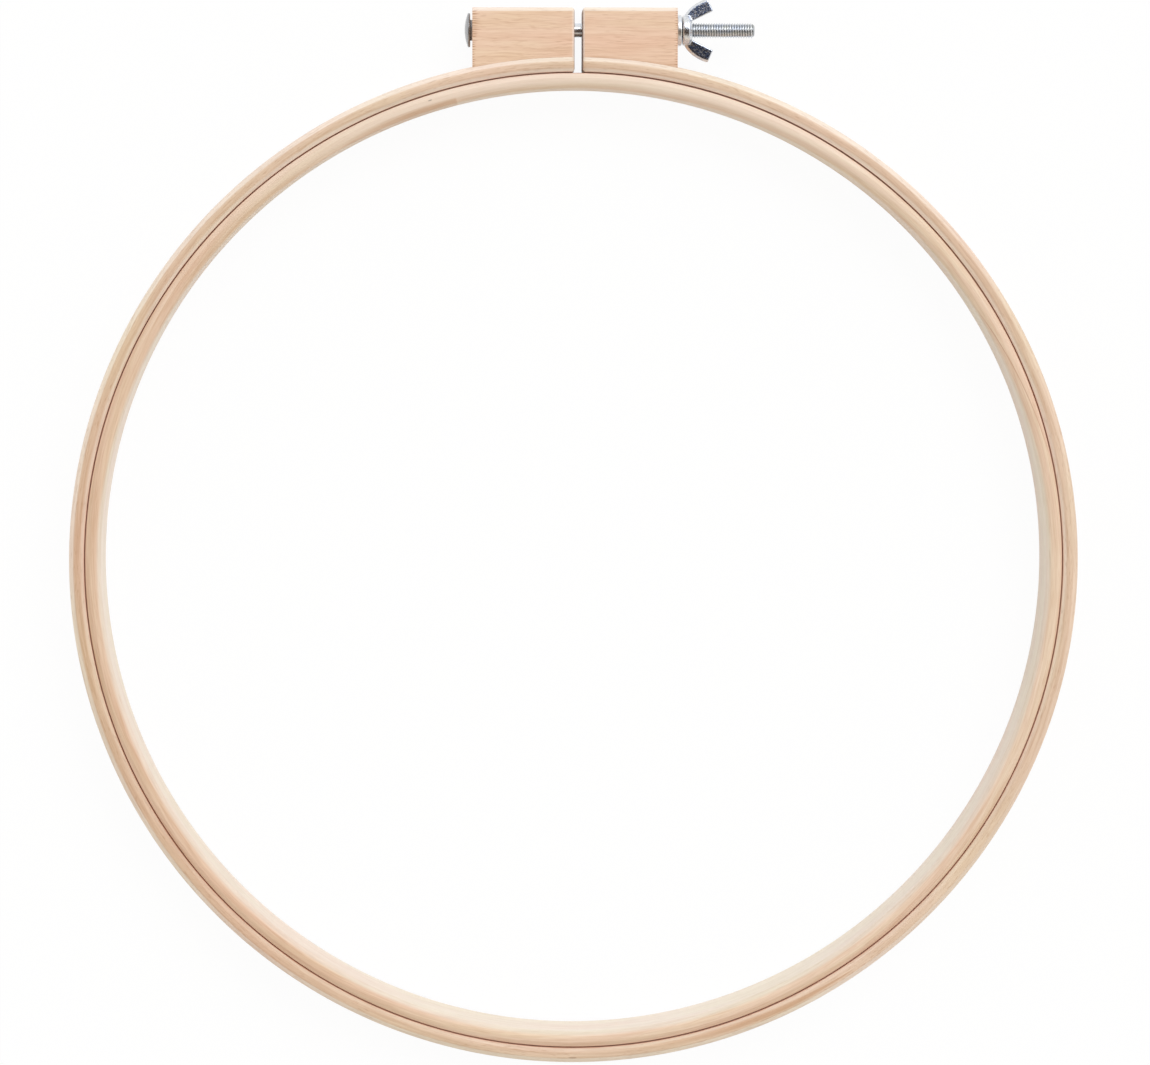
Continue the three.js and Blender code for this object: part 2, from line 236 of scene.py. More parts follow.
def eased_polygon(corners, insets, radii, corner_steps, side_steps):
    """Outlines with rounded corners: rows x points x 2.

    corners run anticlockwise. Each row of insets says how far each side moves in, side k
    being the one after corner k, and a corner slides to where its two sides then meet.
    Round a corner the point is centre + radius x direction, the direction turning from
    one side's normal to the next, and a hollow corner has a negative radius. Along a side
    the points are evenly spaced.
    """
    at = np.array(corners, float)
    run = np.roll(at, -1, axis=0) - at
    after = np.stack([run[:, 1], -run[:, 0]], axis=-1) / np.linalg.norm(run, axis=1)[:, None]
    before = np.roll(after, 1, axis=0)
    insets = np.atleast_2d(insets)
    radii = np.broadcast_to(radii, insets.shape)
    earlier = np.roll(insets, 1, axis=1)
    cross = before[:, 0] * after[:, 1] - before[:, 1] * after[:, 0]
    dot = (before * after).sum(axis=1)
    slide = np.stack([insets * before[:, 1] - earlier * after[:, 1],
                      earlier * after[:, 0] - insets * before[:, 0]], axis=-1) / cross[:, None]
    bisector = (before + after) / (1 + dot)[:, None]
    centre = at + slide - radii[..., None] * bisector
    start = np.arctan2(before[:, 1], before[:, 0])
    turn = np.arctan2(cross, dot)
    step = np.linspace(0, 1, corner_steps + 1)
    angle = start[:, None] + turn[:, None] * step
    direction = np.stack([np.cos(angle), np.sin(angle)], axis=-1)
    arcs = centre[:, :, None] + radii[..., None, None] * direction
    parts = []
    for k, steps in enumerate(side_steps):
        t = np.linspace(0, 1, steps + 1)[1:-1, None]
        here, there = arcs[:, k, -1:], arcs[:, (k + 1) % len(at), :1]
        parts += [arcs[:, k], here + (there - here) * t]
    return np.concatenate(parts, axis=1)


def quarter(radius, steps):
    """Distances from the end at which an edge rounded by a quarter circle gets its rows."""
    return radius * (1 - np.cos(np.linspace(0, np.pi / 2, steps + 1)))


def round_over(distance, radius):
    """How far an edge with this radius draws in at a distance from the end."""
    left = np.clip(radius - distance, 0, radius)
    return radius - np.sqrt(radius ** 2 - left ** 2)


def ring_section(sizes, outside, wall, seam_outside, worn):
    """Corners and radii of a ring's section as (r, z), with sloping long edges.

    The slopes at the seam end crisply, and those that the hand meets are worn round by
    the two radii of worn, at the face and at the wall.
    """
    seam = (sizes.seam_slope_width, sizes.seam_slope_depth, 0.7 * MM, 0.12 * MM)
    hand = (sizes.hand_slope_width, sizes.hand_slope_depth, *worn)
    outer, inner = (seam, hand) if seam_outside else (hand, seam)
    inside, top = outside - wall, sizes.depth
    corners = [(outside - outer[0], 0), (outside, outer[1]), (outside, top - outer[1]),
               (outside - outer[0], top), (inside + inner[0], top), (inside, top - inner[1]),
               (inside, inner[1]), (inside + inner[0], 0)]
    radii = [outer[2], outer[3], outer[3], outer[2], inner[2], inner[3], inner[3], inner[2]]
    return corners, np.array(radii)


def inner_ring_piece(sizes, material):
    """The inner ring: its section carried once round a circle.

    Angle a runs clockwise from the scarf joint. The section moves in and out by a sum of
    three slow sines of a, under 0.1 mm, as a bent strip does. grain holds the arc length
    from the joint, the distance from the middle of the wall and Z.
    """
    steps = 640
    outside, wall = sizes.inner_ring_outside, sizes.inner_ring_wall
    corners, radii = ring_section(sizes, outside, wall, seam_outside=True,
                                  worn=(2.4 * MM, 2.0 * MM))
    across = eased_polygon(corners, np.zeros(8), radii, 4, RING_STEPS)[0]
    turn = np.arange(steps + 1) * 2 * np.pi / steps
    wander = 0.03 * np.sin(2 * turn + 0.6) + 0.02 * np.sin(3 * turn) + 0.012 * np.sin(5 * turn + 2)
    r = across[None, :, 0] + (wander * MM)[:, None]
    angle = (turn + math.radians(SCARF))[:, None]
    z = np.broadcast_to(across[None, :, 1], r.shape)
    points = np.stack([r * np.sin(angle), RING_CENTRE_Y + r * np.cos(angle), z], axis=-1)
    middle = outside - wall / 2
    arc = np.broadcast_to((turn * middle)[:, None], r.shape)
    off = np.broadcast_to(across[None, :, 0] - middle, r.shape)
    grain = np.stack([arc, off, z], axis=-1)
    return surface("inner_ring_strip", points[:-1], material, closed=True, pattern=grain)


def outer_ring_half(sizes, material, name, side, cut):
    """Half of the outer ring, from the saw cut at the top to the bottom of the hoop.

    The sawn end lies in the plane x = cut. Its edges are rounded on all sides but the one
    that the block is glued to: the section's sides draw in by a quarter circle. Beyond
    that the rows turn from the plane of the cut to the radial ones, and their angle grows
    evenly to half a turn. side is 1 for the right half and -1 for the left.
    """
    outside, wall = sizes.outer_radius, sizes.outer_radius - sizes.seam_radius
    corners, radii = ring_section(sizes, outside, wall, seam_outside=False,
                                  worn=(1.2 * MM, 1.5 * MM))
    middle = outside - wall / 2
    near = quarter(sizes.cut_easing, 7)
    start = math.asin((side * cut + near[-1]) / middle)
    steps, turning = 330, 30 * MM
    rest = start + (np.pi - start) * np.arange(1, steps + 1) / steps
    inset = np.concatenate([round_over(near, sizes.cut_easing), np.zeros(steps)])[:, None]
    free = np.array([1, 0, 1, 1, 1, 1, 1, 1])  # all sides but the outside
    section = eased_polygon(corners, inset * free, np.maximum(radii - inset, radii * 0.3), 4,
                            RING_STEPS)
    r, z = section[..., 0], section[..., 1]
    end_x = (side * cut + near)[:, None]
    fade = np.clip((rest - start) * middle / turning, 0, 1)
    fade = (fade * fade * (3 - 2 * fade))[:, None]
    flat = np.arcsin(np.clip(middle * np.sin(rest)[:, None] / r[len(near):], -1, 1))
    even = np.broadcast_to(rest[:, None], flat.shape)
    sweep = np.where(fade < 1, flat * (1 - fade) + even * fade, even)
    angle = np.concatenate([np.arcsin(end_x / r[:len(near)]), sweep])
    x = side * r * np.sin(angle)
    x[-1] = 0
    points = np.stack([x, RING_CENTRE_Y + r * np.cos(angle), z], axis=-1)
    arc = side * middle * (np.pi - angle)
    grain = np.stack([arc, r - middle, z], axis=-1)
    return surface(name, points, material, capped=True, pattern=grain)


def clamp_block(sizes, material, name, outer, gap, box, square):
    """A clamp block between its outer end and the saw cut, with the bolt's hole through it.

    Rows go from the hole's rim over the outer end, along the four sides, over the end at
    the saw cut and back through the hole. The end view is a rectangle, eased along its two
    top edges, whose foot follows the outside of the ring, y = sqrt(R^2 - x^2), with a low
    lip along each face that fills the start of the ring's slope. Towards the saw cut the
    faces and the top draw in by quarter circles. square is the width of the square seat
    for the bolt's neck, or 0.
    """
    side = 1 if gap > outer else -1
    top = box[1].y
    back, front = box[0].z, box[1].z
    chip_radius, foot_radius, plain_end = 0.12 * MM, 0.08 * MM, 3 * MM
    far = quarter(chip_radius, 3)
    near = quarter(max(sizes.cut_easing, sizes.block_corner), 10)[::-1]
    between = np.linspace(outer + side * plain_end, gap - side * plain_end, 18)
    xs = np.concatenate([outer + side * far, between, gap - side * near])
    to_outer, to_gap = np.abs(xs - outer), np.abs(gap - xs)
    chip = round_over(to_outer, chip_radius)
    faces = round_over(to_gap, sizes.cut_easing) + chip
    top_light = round_over(to_gap, sizes.block_corner) + chip
    saddle = np.sqrt((sizes.outer_radius + GLUE) ** 2 - xs ** 2) + RING_CENTRE_Y
    low = saddle.min()
    lip_width, lip_drop = 1.4 * MM, 0.3 * MM
    corners = [(back, low - lip_drop), (back + lip_width, low), (front - lip_width, low),
               (front, low - lip_drop), (front, top), (back, top)]
    lift = saddle - low
    tilted = lift * lip_width / math.hypot(lip_width, lip_drop)
    insets = np.stack([tilted, lift, tilted, faces, top_light, faces], axis=-1)
    easing = np.maximum(sizes.block_easing - faces, 0.3 * sizes.block_easing)
    small = np.full(len(xs), foot_radius)
    radii = np.stack([small, -small, -small, small, easing, easing], axis=-1)
    shell = eased_polygon(corners, insets, radii, 6, (1, 8, 1, 14, 8, 14))
    z, y = shell[..., 0], shell[..., 1]
    sides = np.stack([np.broadcast_to(xs[:, None], y.shape), y, z], axis=-1)
    lean = np.arctan2(y[0] - BOLT_Y, z[0] - BOLT_Z)
    spoke = np.stack([np.cos(lean), np.sin(lean)], axis=-1)

    def rim(x, reach):
        """A closed line round the hole at x, at the distances reach from the bolt's axis."""
        reach = np.broadcast_to(reach, lean.shape)
        return np.stack([np.full(len(lean), x), BOLT_Y + reach * spoke[:, 1],
                         BOLT_Z + reach * spoke[:, 0]], axis=-1)

    hole = sizes.hole_radius
    opening = hole
    if square:
        opening = square / 2 * square_reach(np.pi / 2 - lean, power=60)
    outer_rim = rim(outer, opening)
    gap_rim = rim(gap, hole)
    rows = [outer_rim, (outer_rim * 2 + sides[0]) / 3, (outer_rim + sides[0] * 2) / 3]
    rows += list(sides)
    rows += [(gap_rim + sides[-1] * 2) / 3, (gap_rim * 2 + sides[-1]) / 3, gap_rim]
    inside = outer + side * (SEAT_DEPTH if square else 2 * MM)
    rows += [rim(x, hole) for x in np.linspace(gap, inside, 6)[1:]]
    if square:
        rows.append(rim(inside, opening))
    return surface(name, np.array(rows), material, closed=True)


def square_reach(angle, power):
    """Distance to a square's side by angle, over half its width, with rounded corners."""
    c, s = np.abs(np.cos(angle - NECK_TURN)), np.abs(np.sin(angle - NECK_TURN))
    return (c ** power + s ** power) ** (-1 / power)


def turned(x, r, columns):
    """Points of a body turned about the bolt's axis: r at each x, or at each x and angle."""
    angle = np.arange(columns) * 2 * np.pi / columns
    r = np.broadcast_to(r if np.ndim(r) == 2 else np.asarray(r)[:, None], (len(x), columns))
    xs = np.broadcast_to(np.asarray(x)[:, None], r.shape)
    return np.stack([xs, BOLT_Y + r * np.cos(angle), BOLT_Z + r * np.sin(angle)], axis=-1)


def carriage_bolt_piece(sizes, material):
    """The bolt, turned about its axis: domed head, square neck, shank and thread.

    The head is a flat arc with a rounded rim. Round the neck the radius is that of a
    square with rounded corners, (|cos|^n + |sin|^n)^(-1/n). On the thread the radius falls
    from crest to root by a clipped triangle wave of x / pitch - angle / turn, which fades
    in at the start and under the chamfer at the end.
    """
    columns = 96
    head = BOLT_BOX[0].x
    rim = (BOLT_BOX[1].y - BOLT_BOX[0].y) / 2
    end = BOLT_BOX[1].x
    bulge, rim_height = 0.4 * MM, 0.8 * MM
    dome_r = np.linspace(0.06 * MM, rim - bulge, 26)
    dome_height = HEAD_SEAT - head - rim_height
    sphere = (rim ** 2 + dome_height ** 2) / (2 * dome_height)
    dome_x = head + sphere - np.sqrt(sphere ** 2 - dome_r ** 2)
    t = np.linspace(0.15 * np.pi, 0.98 * np.pi, 9)
    lip = (HEAD_SEAT - dome_x[-1]) / 2
    rim_x = dome_x[-1] + lip - lip * np.cos(t)
    rim_r = rim - bulge + bulge * np.sin(t)
    neck_half, neck_length = 3 * MM, 4 * MM
    neck_end = HEAD_SEAT + neck_length
    under_x = [HEAD_SEAT, HEAD_SEAT, HEAD_SEAT + 0.12 * MM, neck_end - 0.2 * MM, neck_end]
    under_r = [rim * 0.8, neck_half + 0.15 * MM, neck_half, neck_half,
               sizes.shank_radius + 0.1 * MM]
    under_square = [0, 1, 1, 1, 0]
    thread_start = end - THREAD_LENGTH
    shank_x = np.linspace(neck_end + 0.3 * MM, thread_start, 24)
    pitch, rows_a_turn = sizes.thread_pitch, 12
    thread_rows = int(round(THREAD_LENGTH / pitch * rows_a_turn))
    thread_x = np.linspace(thread_start, end, thread_rows + 1)[1:]
    x = np.concatenate([dome_x, rim_x, under_x, shank_x, thread_x])
    plain = np.concatenate([dome_r, rim_r, under_r, np.full(len(shank_x), sizes.shank_radius),
                            np.full(len(thread_x), sizes.thread_radius)])
    squareness = np.concatenate([np.zeros(len(dome_x) + len(rim_x)), under_square,
                                 np.zeros(len(shank_x) + len(thread_x))])[:, None]
    angle = (np.arange(columns) * 2 * np.pi / columns)[None]
    r = plain[:, None] * (1 + squareness * (square_reach(angle, power=24) - 1))
    phase = (x[:, None] - thread_start) / pitch - angle / (2 * np.pi)
    wave = np.clip(np.abs((phase % 1) - 0.5) * 2 * 1.3 - 0.15, 0, 1)
    run_in, chamfered, off_tip = 1.6 * MM, 1.2 * MM, 1.0 * MM
    into = np.clip((x - thread_start) / run_in, 0, 1)[:, None]
    threaded = (x > thread_start)[:, None]
    r = r - threaded * into * wave * sizes.thread_depth
    r = r - threaded * (1 - into) * (sizes.thread_radius - sizes.shank_radius)
    chamfer = sizes.thread_radius - off_tip + (end - x)[:, None]
    r = np.where((x > end - chamfered)[:, None], np.minimum(r, chamfer), r)
    return surface("carriage_bolt_steel", turned(x, r, columns), material, capped=True)


def washer_piece(sizes, material):
    """The washer: a rectangle with four rounded corners, turned about the bolt's axis.

    It is rounder on the side that went first through the die.
    """
    start, end = WASHER_BOX[0].x, WASHER_BOX[1].x
    outside = (WASHER_BOX[1].y - WASHER_BOX[0].y) / 2
    hole = sizes.thread_radius + 0.25 * MM
    corners = [(start, hole), (end, hole), (end, outside), (start, outside)]
    radii = np.array([0.12, 0.3, 0.4, 0.15]) * MM
    section = eased_polygon(corners, np.zeros(4), radii, 5, (3, 6, 3, 6))[0]
    points = turned(section[:, 0], section[:, 1], 128)
    return surface("washer_steel", points, material, closed=True)


def bezier(points, t):
    """A cubic curve through its first and last point, drawn towards the two between."""
    p = np.array(points, float)
    t = np.asarray(t)[:, None]
    return ((1 - t) ** 3 * p[0] + 3 * (1 - t) ** 2 * t * p[1] + 3 * (1 - t) * t ** 2 * p[2]
            + t ** 3 * p[3])


def nut_hub(sizes, material):
    """The hub of the wing nut: a profile turned about the bolt's axis, with its bore.

    The profile is given in mm, as the distance from the axis and the height above the foot.
    """
    seat = NUT_BOX[0].x
    bore = sizes.bore_radius / MM
    profile = np.array([
        (bore, 0.35), (3.45, 0.02), (4.7, 0.0), (5.2, 0.02), (5.55, 0.14), (5.75, 0.38),
        (5.8, 0.7), (5.8, 1.7), (5.78, 2.5), (5.62, 2.82), (5.2, 3.06), (4.75, 3.3),
        (4.45, 3.52), (4.28, 3.72), (4.0, 3.8), (3.45, 3.8), (bore, 3.5), (bore, 2.0)]) * MM
    return surface("hub", turned(seat + profile[:, 1], profile[:, 0], 96), material, closed=True)


def nut_wing(sizes, material, side):
    """One wing: a plate with rounded edges carried along two curves.

    In the plane of the wings, (a, r) is the height above the nut's foot and the distance
    from the bolt's axis, in mm. The outer edge sweeps out from the foot, the inner edge
    rises straight from the hub's top, and at t from 0 to 1 the section spans from one to
    the other. The plate thins from root to tip, and the tip is cut square with eased edges.
    """
    seat = NUT_BOX[0].x
    tip, steps = 0.45 * MM, 34
    near = quarter(tip, 5)[::-1]
    t = np.concatenate([np.linspace(0, 0.95, steps), np.ones(len(near))])
    rise = t[:, None]
    outer = bezier([(0.35, 4.4), (1.42, 8.39), (5.87, 11.3), (9.88, 12.3)], t) * MM
    inner = (np.array([(3.3, 3.4)]) * (1 - rise) + np.array([(12.0, 7.55)]) * rise) * MM
    middle, half = (outer + inner) / 2, (outer - inner) / 2
    width = np.linalg.norm(half, axis=1)
    unit = half / width[:, None]
    onward = np.array([unit[-1, 1], -unit[-1, 0]])
    middle = middle - onward * np.concatenate([np.zeros(steps), near])[:, None]
    inset = round_over(np.concatenate([np.full(steps, tip), near]), tip)
    thick = sizes.wing_thickness / 2 + (1 - t) * 0.5 * MM
    most_width, most_thick = width.max(), thick.max()
    corners = [(-most_width, -most_thick), (most_width, -most_thick), (most_width, most_thick),
               (-most_width, most_thick)]
    thin, narrow = most_thick - thick + inset, most_width - width + inset
    easing = np.maximum(np.array([0.5, 1.3, 1.3, 0.5]) * MM - inset[:, None], 0.3 * MM)
    section = eased_polygon(corners, np.stack([thin, narrow, thin, narrow], axis=-1), easing, 6,
                            (6, 3, 6, 3))
    place = middle[:, None] + unit[:, None] * section[..., :1]
    points = np.stack([seat + place[..., 0], BOLT_Y + side * place[..., 1],
                       BOLT_Z + section[..., 1]], axis=-1)
    return surface("wing", points, material, capped=True)


def wing_nut_piece(sizes, material):
    """The wing nut: hub and wings melted into one cast skin.

    The three closed shells are joined, rebuilt as one surface on a fine grid and
    smoothed, which leaves the small fillets of a casting where they meet. The attribute
    flat is 1 on the faces of the wings, where the normal's |Z| is over 0.98, less on the
    hub, and 0 on the bevels.
    """
    parts = [nut_hub(sizes, material), nut_wing(sizes, material, 1), nut_wing(sizes, material, -1)]
    with bpy.context.temp_override(active_object=parts[0], object=parts[0], selected_objects=parts,
                                   selected_editable_objects=parts):
        bpy.ops.object.join()
    rough = parts[0]
    skin = rough.modifiers.new("skin", "REMESH")
    skin.mode = "VOXEL"
    skin.voxel_size = 0.12 * MM
    skin.use_smooth_shade = True
    ease = rough.modifiers.new("ease", "SMOOTH")
    ease.factor = 0.5
    ease.iterations = 6
    graph = bpy.context.evaluated_depsgraph_get()
    mesh = bpy.data.meshes.new_from_object(rough.evaluated_get(graph))
    mesh.name = "wing_nut_steel"
    mesh.polygons.foreach_set("use_smooth", np.ones(len(mesh.polygons), bool))
    mesh.materials.clear()
    mesh.materials.append(material)
    at = np.empty(len(mesh.vertices) * 3, np.float32)
    normal = np.empty_like(at)
    mesh.vertices.foreach_get("co", at)
    mesh.vertex_normals.foreach_get("vector", normal)
    x, y, z = at.reshape(-1, 3).T
    hub = (np.hypot(y - BOLT_Y, z - BOLT_Z) < 6.1 * MM) & (x < NUT_BOX[0].x + 4 * MM)
    # flat masks the faces that get the painted dark reflection
    facing = np.clip((np.abs(normal[2::3]) - 0.92) / 0.06, 0, 1)
    flat = mesh.attributes.new("flat", "FLOAT", "POINT")
    flat.data.foreach_set("value", (facing * np.where(hub, 0.35, 1)).astype(np.float32))
    bpy.data.objects.remove(rough)
    return new_object("wing_nut_steel", mesh)


# Materials

class Wiring:
    """Adds nodes to one node tree. A socket is fed by another socket or by a plain value."""

    def __init__(self, tree):
        self.tree = tree

    def add(self, kind, inputs=None, **settings):
        """A node of this kind, with its settings made before its inputs are fed."""
        node = self.tree.nodes.new(kind)
        for key, value in settings.items():
            setattr(node, key, value)
        for key, value in (inputs or {}).items():
            socket = node.inputs[key]
            if isinstance(value, bpy.types.NodeSocket):
                self.link(value, socket)
            elif socket.type == "RGBA" and len(value) == 3:
                socket.default_value = (*value, 1.0)
            else:
                socket.default_value = value
        return node

    def link(self, value, socket):
        self.tree.links.new(value, socket)

    def placed(self, name, inputs):
        """A node group, built once, placed with its own values."""
        return self.add("ShaderNodeGroup", inputs, node_tree=bpy.data.node_groups[name]).outputs

    def math(self, operation, a, b=0.0):
        return self.add("ShaderNodeMath", {0: a, 1: b}, operation=operation).outputs[0]

    def plus(self, a, b):
        return self.math("ADD", a, b)

    def minus(self, a, b):
        return self.math("SUBTRACT", a, b)

    def times(self, a, b):
        return self.math("MULTIPLY", a, b)

    def about(self, noise, strength):
        """Noise, which lies about 0.5, as a value about 0."""
        return self.times(self.minus(noise, 0.5), strength)

    def joined(self, x, y, z):
        return self.add("ShaderNodeCombineXYZ", {0: x, 1: y, 2: z}).outputs[0]

    def parts(self, vector):
        return self.add("ShaderNodeSeparateXYZ", {0: vector}).outputs

    def shifted(self, vector, by):
        return self.add("ShaderNodeVectorMath", {0: vector, 1: by}).outputs[0]

    def noise(self, vector, factors, detail=2.0, roughness=0.5, distortion=0.0):
        """Noise, 0 to 1, with about as many changes a metre on each axis as its factor."""
        scaled = self.add("ShaderNodeVectorMath", {0: vector, 1: factors}, operation="MULTIPLY")
        inputs = {"Vector": scaled.outputs[0], "Scale": 1.0, "Detail": detail,
                  "Roughness": roughness, "Distortion": distortion}
        return self.add("ShaderNodeTexNoise", inputs).outputs[0]

    def band(self, value, low, high, out_low=0.0, out_high=1.0):
        """value from low to high as out_low to out_high, held at the ends."""
        inputs = {0: value, 1: low, 2: high, 3: out_low, 4: out_high}
        return self.add("ShaderNodeMapRange", inputs, clamp=True).outputs[0]

    def mix(self, factor, a, b, blend="MIX"):
        inputs = {0: factor, 6: a, 7: b}
        return self.add("ShaderNodeMix", inputs, data_type="RGBA", blend_type=blend).outputs[2]

    def filtered(self, colour, filter_colour):
        """A colour as seen through a filter: the two multiplied."""
        return self.mix(1.0, colour, filter_colour, "MULTIPLY")

    def place(self):
        """The place on the piece, in metres, in the hoop's own axes."""
        return self.add("ShaderNodeTexCoord").outputs["Object"]

    def attribute(self, name, output):
        return self.add("ShaderNodeAttribute", attribute_name=name).outputs[output]


def group(name, inputs, outputs):
    """A shader node group with these sockets: its Wiring, its inputs, and its output node."""
    tree = bpy.data.node_groups.new(name, "ShaderNodeTree")
    for label, kind in inputs:
        tree.interface.new_socket(label, in_out="INPUT", socket_type=kind)
    for label, kind in outputs:
        tree.interface.new_socket(label, in_out="OUTPUT", socket_type=kind)
    wiring = Wiring(tree)
    return wiring, wiring.add("NodeGroupInput").outputs, wiring.add("NodeGroupOutput").inputs


COLOUR, VALUE, VECTOR = "NodeSocketColor", "NodeSocketFloat", "NodeSocketVector"


def build_beech_grain():
    """Beech: long soft streaks, slow changes of tone and short dark ray flecks.

    X of Grain runs along the fibres, in metres.
    """
    w, given, out = group("beech_grain", [
        ("Grain", VECTOR), ("Light", COLOUR), ("Middle", COLOUR), ("Dark", COLOUR),
        ("Streaks", VALUE), ("Flecks", VALUE), ("Fleck Length", VALUE)],
        [("Color", COLOUR), ("Roughness", VALUE), ("Height", VALUE)])
    grain = given["Grain"]
    bend = w.about(w.noise(grain, (32, 60, 60), detail=1), 1.4 * MM)
    along = w.shifted(grain, w.joined(0.0, bend, 0.0))
    slow = w.noise(along, (9, 260, 120), detail=2, distortion=0.2)
    long = w.noise(along, (38, 1000, 560), detail=3, roughness=0.55, distortion=0.3)
    fine = w.noise(along, (90, 2900, 1900), detail=2, roughness=0.6)
    tone = w.plus(w.plus(w.about(slow, 0.9), w.about(long, 1.25)), w.about(fine, 0.9))
    tone = w.times(tone, given["Streaks"])
    base = w.mix(w.band(tone, 0.0, 0.45), given["Middle"], given["Light"])
    base = w.mix(w.band(tone, 0.0, -0.5), base, given["Dark"])
    blush = w.noise(grain, (16, 110, 80), detail=1)
    base = w.mix(w.band(blush, 0.45, 0.7, 0.0, 0.7), base, w.filtered(base, (1.0, 0.93, 0.93)))
    base = w.mix(w.band(blush, 0.52, 0.3, 0.0, 0.4), base, w.filtered(base, (0.98, 1.0, 0.90)))
    stretch = w.joined(w.math("DIVIDE", 1.0, given["Fleck Length"]), 2300.0, 1700.0)
    spots = w.noise(along, stretch, detail=1, roughness=0.4)
    crowd = w.noise(grain, (60, 300, 200), detail=1)
    fleck = w.band(w.plus(spots, w.about(crowd, 0.3)), 0.60, 0.76)
    fleck = w.times(fleck, given["Flecks"])
    colour = w.mix(fleck, base, w.filtered(given["Dark"], (0.84, 0.74, 0.64)))
    w.link(colour, out["Color"])
    w.link(w.band(long, 0.3, 0.7, 0.64, 0.54), out["Roughness"])
    w.link(w.minus(w.plus(w.times(fine, 0.6), long), fleck), out["Height"])


def build_worked_mark():
    """A short mark along the fibres: 1 at its middle, falling to 0 at its edge.

    The mark is an ellipse of the given length and width about a place in Grain's X and Y.
    """
    w, given, out = group("worked_mark", [
        ("Grain", VECTOR), ("Along", VALUE), ("Across", VALUE), ("Length", VALUE),
        ("Width", VALUE)], [("Mask", VALUE)])
    x, y, _ = w.parts(given["Grain"])
    u = w.math("DIVIDE", w.minus(x, given["Along"]), given["Length"])
    v = w.math("DIVIDE", w.minus(y, given["Across"]), given["Width"])
    w.link(w.band(w.plus(w.times(u, u), w.times(v, v)), 0.08, 0.25, 1.0, 0.0), out["Mask"])


def build_zinc_plating():
    """Zinc on steel: small mottled crystals, a faint blue and yellow bloom and fine pits."""
    w, given, out = group("zinc_plating", [
        ("Place", VECTOR), ("Bright", COLOUR), ("Dull", COLOUR), ("Mottle", VALUE),
        ("Gloss", VALUE)],
        [("Color", COLOUR), ("Roughness", VALUE), ("Height", VALUE)])
    crystals = w.noise(given["Place"], (2600, 2600, 2600), detail=2, roughness=0.75)
    cloud = w.noise(given["Place"], (420, 420, 420), detail=2)
    spots = w.times(w.band(crystals, 0.42, 0.60), given["Mottle"])
    base = w.mix(spots, given["Bright"], given["Dull"])
    base = w.mix(w.band(cloud, 0.5, 0.7, 0.0, 0.30), base, shade(172, 190, 226))
    base = w.mix(w.band(cloud, 0.46, 0.3, 0.0, 0.22), base, shade(222, 220, 190))
    w.link(base, out["Color"])
    w.link(w.plus(given["Gloss"], w.times(spots, 0.16)), out["Roughness"])
    w.link(w.plus(crystals, w.times(cloud, 0.5)), out["Height"])


def cleared(owner):
    """The Wiring of a material or world, cleared of the nodes that it starts with."""
    owner.use_nodes = True
    owner.node_tree.nodes.clear()
    return Wiring(owner.node_tree)


def new_material(name):
    """A material with its Wiring and its Principled shader."""
    material = bpy.data.materials.new(name)
    w = cleared(material)
    output = w.add("ShaderNodeOutputMaterial")
    shader = w.add("ShaderNodeBsdfPrincipled")
    w.link(shader.outputs[0], output.inputs[0])
    return material, w, shader


def feed_shader(w, shader, colour, roughness, height, strength, distance):
    """Colour, roughness and a bump of this strength, whose heights span the distance."""
    w.link(colour, shader.inputs["Base Color"])
    w.link(roughness, shader.inputs["Roughness"])
    bump = w.add("ShaderNodeBump", {"Height": height, "Strength": strength,
                                    "Distance": distance})
    w.link(bump.outputs[0], shader.inputs["Normal"])


def finish_wood(w, shader, colour, roughness, height):
    """Bare wood, smoothed with sandpaper: a shallow bump, little shine and a soft sheen of loose
    fibres.
    """
    feed_shader(w, shader, colour, roughness, height, strength=0.25, distance=0.06 * MM)
    shader.inputs["Specular IOR Level"].default_value = 0.4
    shader.inputs["Sheen Weight"].default_value = 0.3
    shader.inputs["Sheen Roughness"].default_value = 0.5


def tanned(w, colour, amount):
    """Wood that has gone browner by the amount, 0 to 1."""
    return w.mix(amount, colour, w.filtered(colour, (0.88, 0.79, 0.71)))


def seam_shade_mask(w, sizes, towards_seam, z):
    """Painted shade: the start of the wall in the seam, darkened towards brown from both faces,
    where shade falls between the rings.
    """
    deep = w.minus(sizes.depth / 2, w.math("ABSOLUTE", w.minus(z, sizes.depth / 2)))
    start = sizes.seam_slope_depth
    near = w.band(deep, start + 2.6 * MM, start + 0.2 * MM)
    return w.times(near, w.band(towards_seam, 2.7 * MM, 2.95 * MM, 0.0, 0.8))


def beech(w, grain, shades, mask, target, streaks, flecks, fleck_length, contrast=1.0):
    """Beech grain in three shades, light to dark, recoloured under the mask.

    There the middle shade becomes the target, and contrast scales how far the other two
    then lie from it.
    """
    moved = [tuple(max(0.0, t + (c - m) * contrast) for c, m, t in zip(tone, shades[1], target))
             for tone in shades]
    light, middle, dark = (w.mix(mask, tone, other) for tone, other in zip(shades, moved))
    return w.placed("beech_grain", {
        "Grain": grain, "Light": light, "Middle": middle, "Dark": dark, "Streaks": streaks,
        "Flecks": flecks, "Fleck Length": fleck_length})


def sawn(w, strongest):
    """Mask of the two faces inside the saw cut, darkened for their end grain and as painted shade
    in the narrow cut.
    """
    x, y, _ = w.parts(w.place())
    half = (RIGHT_BOX[0].x - LEFT_BOX[1].x) / 2
    off = w.math("ABSOLUTE", w.minus(x, CUT_MIDDLE))
    near = w.band(off, half + 0.1 * MM, half + 0.3 * MM, strongest, 0.0)
    return w.times(near, w.band(y, 0.0, 20 * MM))


